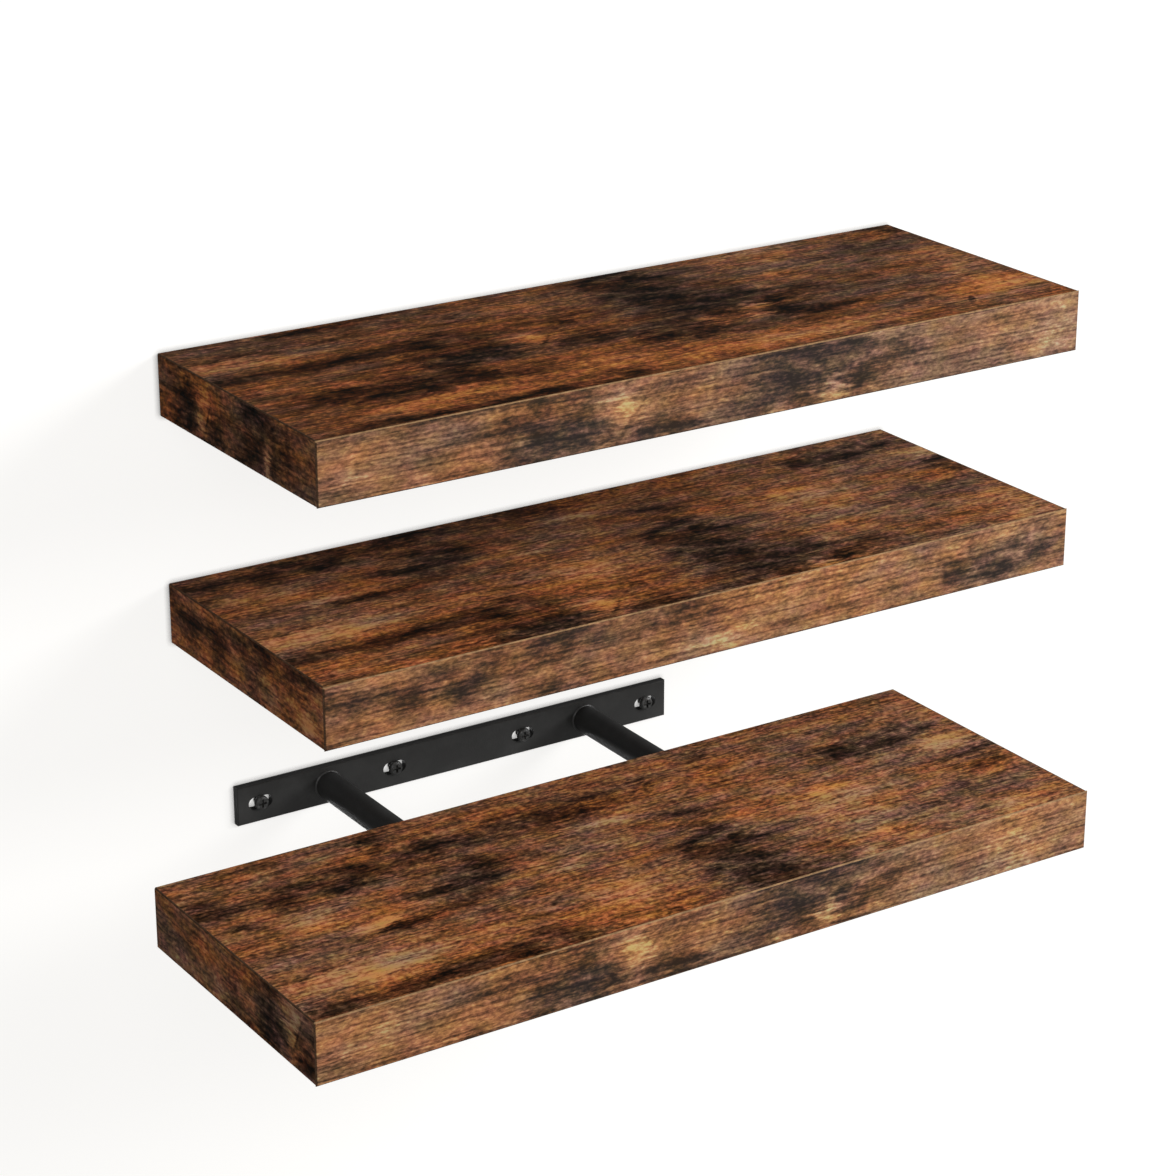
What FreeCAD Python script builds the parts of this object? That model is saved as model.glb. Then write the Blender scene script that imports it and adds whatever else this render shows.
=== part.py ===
"""Three wall shelves, each a hollow-core board that slides onto the two rods of a hidden wall bracket.

Millimetres. X runs along the shelves and Z is up. The wall is the plane Y = 0, with the shelves on its
-Y side. The origin is the centre of the middle bracket, on the wall.
"""
import FreeCAD
import Part
import math
import os
from collections import namedtuple
from FreeCAD import Vector

# Board
board_length = 420.0
board_depth = 150.0
board_height = 30.0
panel_thickness = 3.0
rail_width = 20.0
rod_block_width = 40.0
band_thickness = 1.0
band_edge_chamfer = 0.6

# Paper honeycomb inside the board
cell_width = 34.0
cell_wall = 0.8
smallest_cell_share = 0.15

# Bracket
bar_thickness = 4.0
bar_edge_chamfer = 0.5
slot_count = 4
slot_pitch = 75.0
slot_length = 13.0
slot_width = 6.5
slot_end_margin = 12.5
rod_diameter = 14.0
rod_reach = 110.0
rod_tip_chamfer = 1.5

# Wall screw
shank_diameter = 4.0
wall_depth = 32.0
head_diameter = 7.5
head_height = 2.4
recess_width = 1.1
recess_span = 4.2
recess_depth = 1.4

# Clearances
rod_clearance = 0.3
rod_end_room = 3.0
bar_clearance = 2.0
groove_clearance = 1.6

# Where each shelf is fixed on the wall, and how far its board is drawn out along its rods
Tier = namedtuple("Tier", "along_wall height drawn_out")
tiers = {
    "top": Tier(along_wall=0.0, height=112.0, drawn_out=0.0),
    "middle": Tier(along_wall=0.0, height=0.0, drawn_out=0.0),
    "bottom": Tier(along_wall=-56.0, height=-106.0, drawn_out=88.0),
}

# Sizes that follow from those above. The bar and its screw heads lie in a groove along the back of the
# board, and each rod stands midway between two slots.
core_height = board_height - 2 * panel_thickness
bar_height = core_height - 2 * bar_clearance
bar_length = (slot_count - 1) * slot_pitch + 2 * slot_end_margin
bar_front = -bar_thickness
rod_offset = slot_pitch
rod_radius = rod_diameter / 2
rod_tip = bar_front - rod_reach
groove_depth = bar_thickness + head_height + groove_clearance
bore_radius = rod_radius + rod_clearance
bore_depth = rod_end_room - rod_tip

# Faces of the board's pieces, with the board pushed home against the wall
board_end = board_length / 2
board_front = -board_depth
panel_end = board_end - band_thickness
panel_front = board_front + band_thickness
end_rail_inner = panel_end - rail_width
front_rail_back = panel_front + rail_width
back_rail_back = -groove_depth
back_rail_front = back_rail_back - rail_width
block_inner = rod_offset - rod_block_width / 2
block_outer = rod_offset + rod_block_width / 2
core_span = (-core_height / 2, core_height / 2)
board_span = (-board_height / 2, board_height / 2)

sides = {"left": -1, "right": 1}


def block(x_span, y_span, z_span):
    """A rectangular solid between two limits along each axis, given in either order."""
    low = Vector(min(x_span), min(y_span), min(z_span))
    size = Vector(max(x_span), max(y_span), max(z_span)) - low
    return Part.makeBox(size.x, size.y, size.z, low)


def edges_at(shape, axis, value):
    """The edges of a shape that lie in the plane where one coordinate has this value."""
    return [
        edge for edge in shape.Edges
        if all(abs(getattr(vertex.Point, axis) - value) < 1e-6 for vertex in edge.Vertexes)
    ]


def turned(outline):
    """A round solid from half its outline, which is drawn in X and Y and turned about the Y axis."""
    return Part.Face(outline).revolve(Vector(0, 0, 0), Vector(0, 1, 0), 360)


def arc(start, middle, end):
    return Part.Arc(Vector(*start), Vector(*middle), Vector(*end)).toShape()


def bored(shape):
    """The shape with the two rod bores cut as far into it as they reach."""
    bores = [
        Part.makeCylinder(bore_radius, bore_depth, Vector(sign * rod_offset, 0, 0), Vector(0, -1, 0))
        for sign in sides.values()
    ]
    return shape.cut(bores)


def panel(sign):
    """The upper or lower face sheet, which runs back to the wall and roofs the groove."""
    outer = sign * board_height / 2
    return block((-panel_end, panel_end), (panel_front, 0), (outer - sign * panel_thickness, outer))


def front_rail():
    return bored(block((-end_rail_inner, end_rail_inner), (panel_front, front_rail_back), core_span))


def back_rail():
    return bored(block((-end_rail_inner, end_rail_inner), (back_rail_front, back_rail_back), core_span))


def end_rail(sign):
    """A rail along the board's end, which also closes the end of the back groove."""
    return block((sign * end_rail_inner, sign * panel_end), (panel_front, 0), core_span)


def rod_block(sign):
    """The block between the front and back rails that a rod's blind bore runs into."""
    return bored(block((sign * block_inner, sign * block_outer), (front_rail_back, back_rail_front), core_span))


def honeycomb_cell(centre_x, centre_y):
    """One hexagonal opening, with two of its flats facing along the board."""
    corner_radius = cell_width / math.sqrt(3)
    corners = []
    for corner in range(7):
        angle = math.radians(30 + 60 * corner)
        x = centre_x + corner_radius * math.cos(angle)
        y = centre_y + corner_radius * math.sin(angle)
        corners.append(Vector(x, y, core_span[0]))
    return Part.Face(Part.makePolygon(corners))


def rectangle(x_span, y_span):
    corner = Vector(x_span[0], y_span[0], core_span[0])
    return Part.makePlane(x_span[1] - x_span[0], y_span[1] - y_span[0], corner)


def honeycomb_bay(x_low, x_high):
    """Paper honeycomb that fills the space between two blocks or rails."""
    y_low, y_high = front_rail_back, back_rail_front
    sheet = rectangle((x_low, x_high), (y_low, y_high))
    room = rectangle((x_low + cell_wall, x_high - cell_wall), (y_low + cell_wall, y_high - cell_wall))
    pitch = cell_width + cell_wall
    row_step = pitch * math.sqrt(3) / 2
    rows = math.ceil((y_high - y_low) / 2 / row_step)
    columns = math.ceil((x_high - x_low) / 2 / pitch)
    cells = []
    for row in range(-rows, rows + 1):
        for column in range(-columns - 1, columns + 1):
            centre_x = (x_low + x_high) / 2 + (column + 0.5 * (row % 2)) * pitch
            centre_y = (y_low + y_high) / 2 + row * row_step
            cell = honeycomb_cell(centre_x, centre_y)
            inside = cell.common(room)
            if inside.Area > smallest_cell_share * cell.Area:
                cells.append(inside)
    return sheet.cut(cells).extrude(Vector(0, 0, core_height))


def honeycomb_core():
    """The honeycomb in the board's three bays: beside and between the rod blocks."""
    bays = [
        (-end_rail_inner, -block_outer),
        (-block_inner, block_inner),
        (block_outer, end_rail_inner),
    ]
    return Part.makeCompound([honeycomb_bay(*bay) for bay in bays])


def front_edge_band():
    """The strip glued along the front, its outer edges eased. It laps over the end strips."""
    band = block((-board_end, board_end), (board_front, panel_front), board_span)
    return band.makeChamfer(band_edge_chamfer, edges_at(band, "y", board_front))


def end_edge_band(sign):
    """The strip glued on one end. All its outer edges are eased but the one that meets the front strip."""
    outer = sign * board_end
    band = block((sign * panel_end, outer), (panel_front, 0), board_span)
    at_front = edges_at(band, "y", panel_front)
    eased = [edge for edge in edges_at(band, "x", outer) if not any(edge.isSame(other) for other in at_front)]
    return band.makeChamfer(band_edge_chamfer, eased)


def slot_places():
    return [(index - (slot_count - 1) / 2) * slot_pitch for index in range(slot_count)]


def slot(x):
    """The tool that cuts one round-ended slot right through the bar."""
    radius = slot_width / 2
    straight = slot_length / 2 - radius
    left, right = x - straight, x + straight
    outline = Part.Wire([
        Part.makeLine(Vector(left, 0, radius), Vector(right, 0, radius)),
        arc((right, 0, radius), (right + radius, 0, 0), (right, 0, -radius)),
        Part.makeLine(Vector(right, 0, -radius), Vector(left, 0, -radius)),
        arc((left, 0, -radius), (left - radius, 0, 0), (left, 0, radius)),
    ])
    return Part.Face(outline).extrude(Vector(0, bar_front, 0))


def wall_bar():
    """The flat bar that is screwed to the wall, its front edges eased, with a row of slots."""
    bar = block((-bar_length / 2, bar_length / 2), (bar_front, 0), (-bar_height / 2, bar_height / 2))
    bar = bar.makeChamfer(bar_edge_chamfer, edges_at(bar, "y", bar_front))
    return bar.cut([slot(x) for x in slot_places()])


def rod(sign):
    """A round rod that stands on the bar, with a chamfered tip that finds the bore."""
    outline = Part.makePolygon([
        Vector(0, bar_front, 0),
        Vector(rod_radius, bar_front, 0),
        Vector(rod_radius, rod_tip + rod_tip_chamfer, 0),
        Vector(rod_radius - rod_tip_chamfer, rod_tip, 0),
        Vector(0, rod_tip, 0),
        Vector(0, bar_front, 0),
    ])
    return turned(outline).translated(Vector(sign * rod_offset, 0, 0))


def wall_screw():
    """A pan-head screw through the bar and into the wall, with a cross recess in its head."""
    head_top = bar_front - head_height
    outline = Part.makePolygon([
        Vector(0, head_top, 0),
        Vector(0, wall_depth, 0),
        Vector(shank_diameter / 2, wall_depth, 0),
        Vector(shank_diameter / 2, bar_front, 0),
        Vector(head_diameter / 2, bar_front, 0),
        Vector(head_diameter / 2, head_top, 0),
        Vector(0, head_top, 0),
    ])
    across = (-recess_span / 2, recess_span / 2)
    thin = (-recess_width / 2, recess_width / 2)
    deep = (head_top, head_top + recess_depth)
    return turned(outline).cut([block(across, deep, thin), block(thin, deep, across)])


def board_pieces():
    """Every piece of one board, pushed home, with its centre on the bracket's."""
    pieces = {
        "upper_panel": panel(1),
        "lower_panel": panel(-1),
        "front_rail": front_rail(),
        "back_rail": back_rail(),
        "honeycomb_core": honeycomb_core(),
        "front_edge_band": front_edge_band(),
    }
    for side, sign in sides.items():
        pieces[side + "_end_rail"] = end_rail(sign)
        pieces[side + "_rod_block"] = rod_block(sign)
        pieces[side + "_edge_band"] = end_edge_band(sign)
    return pieces


def bracket_pieces():
    """Every piece of one bracket, its bar's back face centred on the origin."""
    screw = wall_screw()
    pieces = {
        "wall_bar": wall_bar(),
        "wall_screws": Part.makeCompound([screw.translated(Vector(x, 0, 0)) for x in slot_places()]),
    }
    for side, sign in sides.items():
        pieces[side + "_rod"] = rod(sign)
    return pieces


os.makedirs("parts", exist_ok=True)
board = board_pieces()
bracket = bracket_pieces()
for tier_name, tier in tiers.items():
    fixing_point = Vector(tier.along_wall, 0, tier.height)
    drawn_out = Vector(0, -tier.drawn_out, 0)
    for piece_name, shape in bracket.items():
        shape.translated(fixing_point).exportStep(f"parts/{tier_name}_bracket_{piece_name}.step")
    for piece_name, shape in board.items():
        shape.translated(fixing_point + drawn_out).exportStep(f"parts/{tier_name}_shelf_{piece_name}.step")
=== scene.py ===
"""Finishes, fittings and studio of a wall shelf: three printed hollow-core boards on hidden rod brackets.

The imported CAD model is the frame. Every length here is in metres, and the finishes count their own patterns
in millimetres. X runs along the shelves, Z is up and the wall is the plane Y = 0, with the shelves on its
-Y side.
"""
import math
from collections import namedtuple

import bmesh
import bpy
from bpy.props import FloatProperty, FloatVectorProperty, IntProperty, PointerProperty
from mathutils import Matrix, Vector


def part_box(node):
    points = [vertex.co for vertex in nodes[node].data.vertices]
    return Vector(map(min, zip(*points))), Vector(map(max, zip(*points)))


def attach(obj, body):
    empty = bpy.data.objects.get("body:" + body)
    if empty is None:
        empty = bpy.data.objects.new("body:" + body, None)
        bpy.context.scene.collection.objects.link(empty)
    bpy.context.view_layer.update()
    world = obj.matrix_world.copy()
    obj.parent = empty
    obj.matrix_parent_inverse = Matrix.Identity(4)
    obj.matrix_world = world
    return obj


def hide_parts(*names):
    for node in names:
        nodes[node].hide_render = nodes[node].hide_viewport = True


bl_info = {
    "name": "Three-tier wall shelf",
    "version": (1, 0, 0),
    "blender": (4, 5, 0),
    "location": "3D View > Sidebar > Wall Shelf",
    "description": "Finishes, fittings and studio of three printed boards on hidden rod brackets",
    "category": "Object",
}

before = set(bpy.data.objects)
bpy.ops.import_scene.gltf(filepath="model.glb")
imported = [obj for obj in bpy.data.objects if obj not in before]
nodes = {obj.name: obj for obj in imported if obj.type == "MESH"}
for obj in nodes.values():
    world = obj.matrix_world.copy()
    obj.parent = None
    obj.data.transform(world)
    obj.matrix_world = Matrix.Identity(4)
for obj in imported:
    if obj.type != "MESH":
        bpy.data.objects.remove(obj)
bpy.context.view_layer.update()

MM = 0.001
TIERS = ("top", "middle", "bottom")
SIDES = ("left", "right")

# A patch of the print: its centre along and across the grain, and its reach each way, in millimetres, then
# how strong it is, and how far its long axis is tipped from the grain, in degrees.
Patch = namedtuple("Patch", "along across reach_along reach_across strength tilt", defaults=[0])

# Every board is faced with the same printed paper. Its zero is the middle of the middle board's back edge,
# and the print runs down from there towards the front. First the patches that are scorched dark, row by row
# from the left.
SMOKE = [
    Patch(-150, -14, 110, 22, 0.6),
    Patch(-172, -17, 42, 9, 0.6),
    Patch(-142, -14, 24, 14, 0.5),
    Patch(-88, -6, 30, 12, 0.7),
    Patch(-114, 14, 14, 15, 1.0),
    Patch(-90, 6, 18, 12, 0.4),
    Patch(-222, -6, 22, 18, 0.6),
    Patch(-210, -33, 10, 9, 0.9),
    Patch(-20, -4, 90, 16, 0.75),
    Patch(88, 16, 18, 14, 0.6),
    Patch(150, -4, 60, 20, 0.35),
    Patch(158, -24, 44, 15, 1.1),
    Patch(200, -18, 34, 24, 0.6),
    Patch(-122, -42, 22, 10, 0.5),
    Patch(-98, -48, 30, 13, 1.2),
    Patch(-84, -31, 22, 14, 0.8),
    Patch(-66, -38, 22, 9, 0.6),
    Patch(38, -40, 22, 28, 0.7),
    Patch(208, -53, 26, 9, 0.8),
    Patch(-146, -64, 17, 8, 1.3),
    Patch(-118, -65, 40, 12, 0.7),
    Patch(-72, -64, 30, 10, 0.5),
    Patch(26, -70, 36, 22, 0.9),
    Patch(212, -71, 18, 9, 1.2),
    Patch(194, -66, 18, 16, 0.5),
    Patch(-69, -84, 10, 9, 0.7),
    Patch(-100, -80, 45, 16, 0.3),
    Patch(36, -92, 44, 34, 0.7),
    Patch(178, -90, 56, 14, 0.4),
    Patch(-90, -104, 30, 12, 0.6),
    Patch(-140, -116, 100, 11, 1.0),
    Patch(-215, -118, 25, 10, 0.5),
    Patch(-27, -119, 12, 8, 0.6),
    Patch(28, -112, 34, 26, 0.8),
    Patch(38, -126, 22, 22, 0.6),
    Patch(66, -124, 24, 20, 0.8),
    Patch(98, -132, 30, 20, 0.6),
    Patch(-150, -134, 40, 16, 0.35),
    Patch(-93, -136, 40, 26, 0.9),
    Patch(-92, -146, 32, 11, 0.9),
    Patch(-36, -143, 30, 18, 0.7),
    Patch(-34, -149, 26, 7, 0.8),
    Patch(-49, -137, 20, 1.8, 0.5, 50),
    Patch(20, -142, 34, 20, 0.7),
    Patch(50, -142, 16, 22, 0.6),
    Patch(75, -150, 15, 24, 1.1),
    Patch(-148, -163, 62, 17, 1.4),
    Patch(-104, -170, 46, 13, 1.1, -6),
    Patch(-125, -178, 24, 9, 0.6),
    Patch(4, -160, 28, 18, 0.8),
    Patch(18, -168, 42, 11, 0.9),
    Patch(84, -166, 38, 12, 1.1),
    Patch(157, -193, 10, 2.6, 1.4, 55),
    Patch(-48, -198, 24, 11, 0.6),
    Patch(-120, -206, 120, 7, 1.1),
]

# Then the patches that are left warm and pale.
GLOW = [
    Patch(0, -24, 36, 9, 0.9),
    Patch(-182, -42, 40, 22, 0.6),
    Patch(-158, -58, 22, 7, 1.0, 18),
    Patch(-48, -57, 18, 14, 0.6),
    Patch(115, -55, 70, 26, 0.6),
    Patch(207, -40, 24, 10, 1.1),
    Patch(112, -80, 50, 18, 0.6),
    Patch(-182, -95, 75, 17, 1.0),
    Patch(-35, -93, 40, 26, 0.65),
    Patch(112, -101, 55, 12, 0.6),
    Patch(190, -112, 44, 16, 0.5),
    Patch(86, -118, 20, 9, 0.6),
    Patch(-195, -136, 9, 16, 0.5),
    Patch(-165, -147, 22, 8, 0.5),
    Patch(-55, -134, 14, 24, 0.9, -20),
    Patch(62, -143, 11, 11, 1.0),
    Patch(34, -153, 10, 11, 0.6),
    Patch(58, -160, 12, 7, 0.8),
    Patch(190, -145, 40, 40, 0.6),
    Patch(-40, -178, 50, 14, 0.5),
    Patch(-130, -190, 110, 14, 0.75),
    Patch(40, -193, 130, 18, 0.85),
    Patch(185, -185, 60, 30, 0.8),
]

# Last the patches where the brown is richer, or ashen if their strength is below zero.
RUST = [
    Patch(0, 0, 70, 24, 0.08),
    Patch(172, -22, 70, 40, -0.26),
    Patch(-95, -42, 34, 18, -0.12),
    Patch(38, -92, 48, 44, -0.2),
    Patch(150, -100, 80, 80, -0.08),
    Patch(-60, -105, 50, 40, 0.14),
    Patch(-110, -115, 60, 30, 0.08),
    Patch(45, -125, 50, 30, -0.08),
    Patch(-90, -142, 40, 14, -0.26),
    Patch(-125, -165, 150, 70, 0.2),
    Patch(-60, -192, 140, 30, 0.16),
    Patch(30, -195, 120, 26, 0.14),
    Patch(185, -190, 60, 30, 0.14),
]

# The piece of the print that each face shows: where its own zero lies on the print, in millimetres, how
# many millimetres of print each millimetre of the face takes along the grain, how much paler it is, partly
# by its print and partly as painted light and shade set face by face, how much richer and crisper it came
# off the press, and patches that are scorched on this face only. A face's zero is the middle of its back
# edge, or of a front band's upper edge, or an end band's upper back corner.
Window = namedtuple(
    "Window", "along across stretch lift rust crisp smoke", defaults=[1.0, 0.0, 0.0, 1.0, ()]
)
WINDOWS = {
    "top_upper": Window(
        0, -60, lift=-0.03, smoke=(Patch(-168, -88, 60, 26, 0.6), Patch(-38, -100, 44, 30, 0.6))
    ),
    "top_lower": Window(12, -8),
    "top_front": Window(0, -120, lift=-0.06, rust=-0.09),
    "top_left": Window(-148, -120, stretch=2.0, lift=0.03, rust=-0.01),
    "top_right": Window(40, -60),
    "middle_upper": Window(0, 0, lift=0.06, crisp=1.2),
    "middle_lower": Window(-8, -52),
    "middle_front": Window(0, -2, lift=0.005, rust=0.05),
    "middle_left": Window(-220, -2, stretch=1.6, lift=0.15, rust=0.05),
    "middle_right": Window(70, -90),
    "bottom_upper": Window(
        0, 27, stretch=1.09, lift=0.1, crisp=1.3,
        smoke=(Patch(-163, 7, 90, 24, 0.3), Patch(0, -3, 100, 30, 0.25)),
    ),
    "bottom_lower": Window(6, -34),
    "bottom_front": Window(0, -122, stretch=1.12, lift=-0.01, crisp=1.15),
    "bottom_left": Window(-278, -124, stretch=1.7, lift=0.08, rust=-0.15),
    "bottom_right": Window(-170, -40),
}

# Tones of the print, from 0 where it is scorched to 1 in its palest streaks, and what moves them: the marks
# of the grain, the pale patches, and the dark patches with the flecks and mottle that show through them.
TONE_LEVELS = {"charred": -0.16, "scorched": 0.0, "dark": 0.22, "brown": 0.48, "warm": 0.72, "pale": 1.0}
MIDDLE_TONE = 0.51
GRAIN_WEIGHTS = {"drift": 0.4, "mottle": 0.9, "streak": 0.4, "dash": 1.2}
GLOW_LIFT = 0.36
SOOT_DEPTH = 0.36
SOOT_WEIGHTS = {"fleck": 0.7, "mottle": 1.0}

# The levels of noise between which a thin line sets in, and the shares of its depth by which the paper
# beside it is paler and the line itself is darker.
LINE_EDGES = (0.46, 0.62)
LINE_SHARES = (0.2, -0.8)

# How far a patch's edge bends, and frays along the grain, in millimetres, how deep flecks eat into it, and
# the levels between which the patch sets in. One that reaches no further across than a knot keeps its edge.
EDGE_BEND = (28, 18, 0)
EDGE_FRAY = (38, 0, 0)
EDGE_FLECKS = 1.2
EDGE_LEVELS = (0.1, 0.85)
KNOT_REACH = 5

# What the browns are multiplied by where they wander, and the levels at which they have wandered that far.
PLAIN = (1.0, 1.0, 1.0)
ASHEN, RICH = (0.8, 1.03, 1.42), (1.22, 0.97, 0.68)
PURPLE, OLIVE = (1.1, 0.95, 1.18), (0.91, 1.05, 0.84)
WANDER_LEVELS = (0.34, 0.66)

# Thickness of the printed paper and height of a face's upper rim, in millimetres.
PAPER_THICKNESS = 0.15
RIM_HEIGHT = 0.7

# Sockets of a Mix node that mixes colours.
FACTOR, FIRST, SECOND = 0, 6, 7

# Outline of a weld bead between its two feet, in legs out from the rod and along it, the steps by which it
# swells and shrinks again over one ripple, and how deep its feet are sunk in the steel.
BEAD_OUTLINE = [(0.86, 0.3), (0.55, 0.6), (0.2, 0.85)]
BEAD_SWELL = (1.05, 1.02, 0.97, 0.9625)
BEAD_SINK = 0.1 * MM

# Outline of one turn of a screw's thread, in thread heights and pitches, and of its head, in head radii and
# head heights from the top, the steps in one round of each, and how much the recess narrows to its floor.
THREAD_OUTLINE = [(0, 0), (0, 0.5), (1, 0.72), (1, 0.78), (0, 1)]
HEAD_OUTLINE = [(0.72, 0.05), (0.9, 0.25), (0.985, 0.55), (1, 0.8), (0.97, 1), (0, 1)]
THREAD_STEPS = 20
HEAD_STEPS = 36
RECESS_TAPER = 0.7

# Vertices this close are one.
NEAR = 0.01 * MM

# A soft lamp: the setting that holds its power, its width and height, its angles round to the right from
# straight in front and up from level, in degrees, and its distance.
Lamp = namedtuple("Lamp", "power width height azimuth elevation distance")
LAMPS = {
    "key_lamp": Lamp("key_power", 1.0, 0.7, 52, 21, 2.2),
    "fill_lamp": Lamp("fill_power", 1.4, 1.4, -35, 22, 2.4),
    "back_lamp": Lamp("back_power", 1.4, 1.4, 170, -18, 2.4),
}

# The sweep: its gap behind the brackets, its reach each way, and the radius and steps of its curve.
SWEEP_GAP = 0.2 * MM
SWEEP_REACH = 3.0
SWEEP_RADIUS = 0.35
SWEEP_STEPS = 16

# Shares of the room's light in front of the wall and behind it, and the camera's sensor in millimetres.
ROOM_SHARES = (1.6, 0.3)
SENSOR_WIDTH = 36


def linear(hex_colour):
    """An sRGB hex value as linear red, green and blue."""
    channels = [int(hex_colour[i:i + 2], 16) / 255 for i in (1, 3, 5)]
    return [c / 12.92 if c <= 0.04045 else ((c + 0.055) / 1.055) ** 2.4 for c in channels]


def colour(name, description, hex_colour):
    """A colour property whose default is an sRGB hex value."""
    default = linear(hex_colour)
    return FloatVectorProperty(
        name=name, description=description, default=default, size=3, min=0, max=1, subtype="COLOR"
    )


def length(name, description, millimetres):
    """A length property whose default is in millimetres."""
    default = millimetres * MM
    return FloatProperty(
        name=name, description=description, default=default, min=0, subtype="DISTANCE", unit="LENGTH"
    )


def angle(name, description, degrees):
    """An angle property whose default is in degrees."""
    return FloatProperty(name=name, description=description, default=math.radians(degrees), subtype="ANGLE")


def power(name, description, watts):
    """A lamp's power property, in watts."""
    return FloatProperty(name=name, description=description, default=watts, min=0, unit="POWER")


def amount(name, description, default):
    """A plain number property, from zero up."""
    return FloatProperty(name=name, description=description, default=default, min=0)


class FacePrint(bpy.types.PropertyGroup):
    """Rustic brown print on the upper and lower faces."""

    charred: colour("Charred", "Near-black strands in the dark patches", "#0b0603")
    scorched: colour("Scorched", "Smoky dark brown of the dark patches", "#1f1208")
    dark: colour("Dark", "Darkest unburnt grain", "#3d2415")
    brown: colour("Brown", "Middle brown of the print", "#62412c")
    warm: colour("Warm", "Orange brown between the dark patches", "#9a623f")
    pale: colour("Pale", "Palest streaks", "#bf8e5b")
    stock: colour("Stock", "Raw fibreboard behind the paper", "#8f6e49")
    streak_length: length("Streak length", "Length of the streaks of grain", 30)
    streak_width: length("Streak width", "Width of the streaks of grain", 4.0)
    dash_length: length("Dash length", "Length of the short dashes of grain", 3.2)
    dash_width: length("Dash width", "Width of the short dashes of grain", 1.9)
    line_length: length("Line length", "Length of the thin dark lines", 30)
    line_gap: length("Line gap", "Usual distance between the thin dark lines", 1.7)
    line_depth: amount("Line depth", "Depth of the thin lines on the scale of tones", 0.16)
    wave: length("Wave", "How far the grain wanders off its line", 4.5)
    hue_shift: amount("Hue shift", "Share that shows of the wander from ash to orange", 1.0)


class BandPrintAndSheen(bpy.types.PropertyGroup):
    """Paler, greyer print on the glued edge bands: partly the bands' own tone, partly painted sheen on the
    fronts.
    """

    charred: colour("Charred", "Near-black strands in the dark patches", "#2a1f18")
    scorched: colour("Scorched", "Smoky grey brown of the dark patches", "#382a20")
    dark: colour("Dark", "Darkest lines of the grain", "#543a29")
    brown: colour("Brown", "Middle tan of the print", "#7c573e")
    warm: colour("Warm", "Light tan between the dark patches", "#a07551")
    pale: colour("Pale", "Palest streaks", "#b09b6e")
    stock: colour("Stock", "Through-coloured plastic of the band", "#5c4534")
    # The pale upper edge of a front band is partly rubbed wear and partly a painted highlight where light
    # catches the eased edge.
    rubbed: colour("Rubbed edge", "Upper edge of a front band, rubbed pale", "#9a7854")
    streak_length: length("Streak length", "Length of the streaks of grain", 45)
    streak_width: length("Streak width", "Width of the streaks of grain", 2.2)
    dash_length: length("Dash length", "Length of the short dashes of grain", 3.2)
    dash_width: length("Dash width", "Width of the short dashes of grain", 1.3)
    line_length: length("Line length", "Length of the thin dark lines", 90)
    line_gap: length("Line gap", "Usual distance between the thin dark lines", 1.8)
    line_depth: amount("Line depth", "Depth of the thin lines on the scale of tones", 0.22)
    wave: length("Wave", "How far the grain wanders off its line", 2)
    hue_shift: amount("Hue shift", "Share that shows of the wander from ash to orange", 0.6)


class Inside(bpy.types.PropertyGroup):
    """Unprinted stock of the board's frame."""

    board_dark: colour("Fibreboard, dark", "Dark fibres of the raw board", "#7f5a3c")
    board_light: colour("Fibreboard, light", "Light fibres of the raw board", "#ba9268")
    paper_dark: colour("Paper, dark", "Shaded flutes of the honeycomb paper", "#8d6b45")
    paper_light: colour("Paper, light", "Open flutes of the honeycomb paper", "#c7a172")


class Bracket(bpy.types.PropertyGroup):
    """Coated steel bracket with its welds and screws."""

    coat: colour("Coat", "Black of the powder coat", "#252524")
    coat_grey: colour("Coat, worn", "Greyer black where the coat is thin", "#323231")
    screw: colour("Screw", "Black phosphate on the screws", "#2b2b2a")
    screw_worn: colour("Screw, worn", "Steel that shows through on the screws", "#5c5c5b")
    weld_leg: length("Weld leg", "Reach of the weld bead along the bar and along the rod", 0.7)
    weld_ripples: IntProperty(name="Weld ripples", description="Ripples round one bead", default=26, min=8)
    screw_count: IntProperty(name="Screws", description="Screws in one bar", default=4, min=2)
    head_diameter: length("Head diameter", "Diameter of the pan head", 7.5)
    head_height: length("Head height", "Height of the pan head", 2.4)
    recess_span: length("Recess span", "Width of the cross recess from tip to tip", 4.2)
    recess_width: length("Recess width", "Width of one arm of the cross recess", 1.1)
    recess_depth: length("Recess depth", "Depth of the cross recess", 1.4)
    thread_diameter: length("Thread diameter", "Diameter over the crests of the thread", 4.0)
    core_diameter: length("Core diameter", "Diameter at the root of the thread", 2.9)
    thread_pitch: length("Thread pitch", "Distance from one crest to the next", 1.8)
    point_length: length("Point length", "Length of the unthreaded point", 4.0)


class Studio(bpy.types.PropertyGroup):
    """Pale sweep, soft lamps and camera."""

    paper: colour("Sweep", "Pale paper of the wall and floor", "#f4f3f1")
    floor_drop: length("Floor drop", "Height of the middle shelf above the floor", 600)
    lens: FloatProperty(
        name="Lens", description="Focal length on a 36 mm sensor", default=99.81, unit="CAMERA"
    )
    azimuth: angle("Azimuth", "Camera's turn round the shelves", -33.09)
    elevation: angle("Elevation", "Camera's height angle", 21.11)
    distance: length("Distance", "Camera's distance from the point it looks at", 1569.3)
    aim: FloatVectorProperty(
        name="Aim",
        description="Point that the camera looks at",
        default=(-0.02187, -0.0700, -0.00416),
        subtype="TRANSLATION",
        unit="LENGTH",
    )
    key_power: power("Key", "Power of the large lamp on the right", 67)
    fill_power: power("Fill", "Power of the lamp by the camera", 16)
    back_power: power("Back", "Power of the low lamp behind the wall", 30)
    room_light: amount("Room", "Strength of the even light from all round", 0.25)


class WallShelf(bpy.types.PropertyGroup):
    """Everything that a user would change on the wall shelf."""

    face_print: PointerProperty(type=FacePrint)
    band_print: PointerProperty(type=BandPrintAndSheen)
    inside: PointerProperty(type=Inside)
    bracket: PointerProperty(type=Bracket)
    studio: PointerProperty(type=Studio)


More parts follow.
